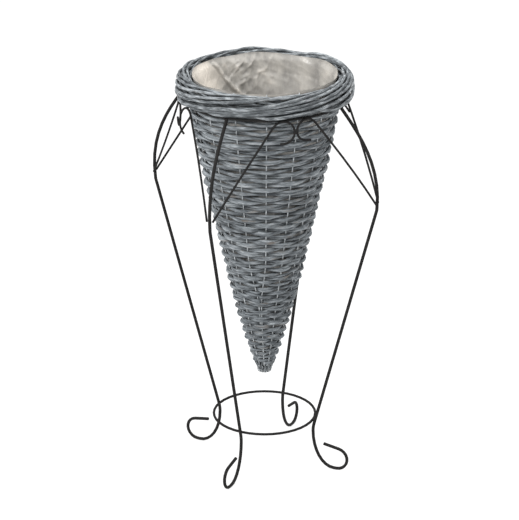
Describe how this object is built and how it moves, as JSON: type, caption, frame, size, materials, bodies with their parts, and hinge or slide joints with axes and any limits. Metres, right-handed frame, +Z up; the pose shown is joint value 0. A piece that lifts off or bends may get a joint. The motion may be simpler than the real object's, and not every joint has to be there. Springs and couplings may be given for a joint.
{
  "type": "wicker cone planter on wire stand",
  "caption": "Tall cone-shaped woven willow planter with a rolled border and film liner, hung in a black wire stand with curled feet and scrolled braces.",
  "frame": {"origin": "on the floor, on the axis that the stand's two rings and the basket share", "axes": "+Z up, -Y to the front, towards the picture's camera, +X to the viewer's right"},
  "size_m": [0.4096, 0.4024, 0.76],
  "materials": {
    "painted_wire": "satin black paint",
    "stake_wire": "galvanised",
    "grey_willow": "matt grey wash",
    "film": "clear, crinkled"
  },
  "bodies": {
    "stand": {"top_ring": "painted_wire", "bottom_ring": "painted_wire", "leg_front_right": "painted_wire", "leg_back_right": "painted_wire", "leg_back_left": "painted_wire", "leg_front_left": "painted_wire", "brace_right_front": "painted_wire", "brace_right_back": "painted_wire", "brace_back_right": "painted_wire", "brace_back_left": "painted_wire", "brace_left_back": "painted_wire", "brace_left_front": "painted_wire", "brace_front_left": "painted_wire", "brace_front_right": "painted_wire"},
    "basket": {"woven_wall": "grey_willow", "rolled_border": "grey_willow", "liner": "film", "stake_01": "stake_wire", "stake_02": "stake_wire", "stake_03": "stake_wire", "stake_04": "stake_wire", "stake_05": "stake_wire", "stake_06": "stake_wire", "stake_07": "stake_wire", "stake_08": "stake_wire", "stake_09": "stake_wire", "stake_10": "stake_wire", "stake_11": "stake_wire", "stake_12": "stake_wire", "stake_13": "stake_wire", "stake_14": "stake_wire", "stake_15": "stake_wire"}
  },
  "joints": [
    {"name": "basket_lift", "type": "slide", "parent": "stand", "child": "basket", "axis": [0, 0, 1], "range_m": [0, 0.56]}
  ]
}
